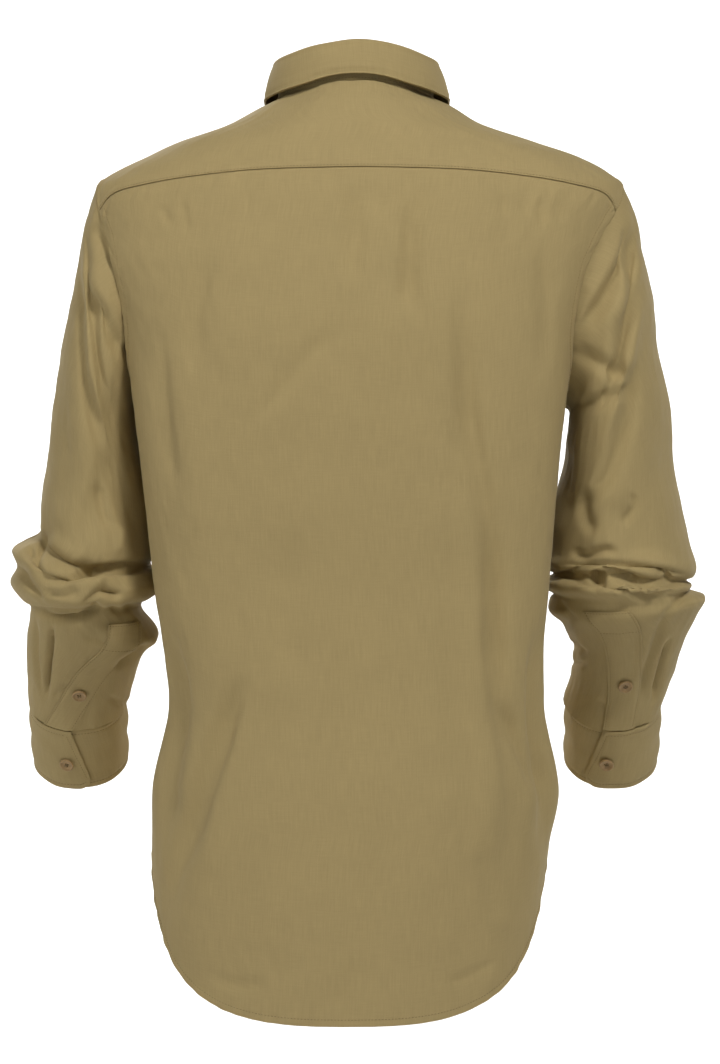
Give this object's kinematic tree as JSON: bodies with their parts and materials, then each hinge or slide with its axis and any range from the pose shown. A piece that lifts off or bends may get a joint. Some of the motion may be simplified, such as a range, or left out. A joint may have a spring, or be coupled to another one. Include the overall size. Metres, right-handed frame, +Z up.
{
  "type": "long-sleeved button-down shirt",
  "caption": "Hollow khaki cotton shirt with a folded collar, back yoke, curved tails, buttoned front band and sleeves pushed up over buttoned cuffs.",
  "frame": {"origin": "middle of the neck opening, level with the back neck seam", "axes": "+Z up along the body, -Y to the shirt's front, +X to the wearer's left"},
  "size_m": [0.5808, 0.277, 0.7957],
  "materials": {
    "cotton": "matte",
    "button": "satin"
  },
  "bodies": {
    "root": {"back": "cotton", "collar": "cotton", "collar_stand": "cotton", "front_button_1": "button", "front_button_2": "button", "front_button_3": "button", "front_button_4": "button", "front_button_5": "button", "front_button_6": "button", "front_left": "cotton", "front_placket": "cotton", "front_right": "cotton", "left_cuff": "cotton", "left_cuff_button": "button", "left_placket_button": "button", "left_sleeve": "cotton", "left_sleeve_placket": "cotton", "right_cuff": "cotton", "right_cuff_button": "button", "right_placket_button": "button", "right_sleeve": "cotton", "right_sleeve_placket": "cotton", "stand_button": "button", "yoke": "cotton"}
  },
  "joints": []
}
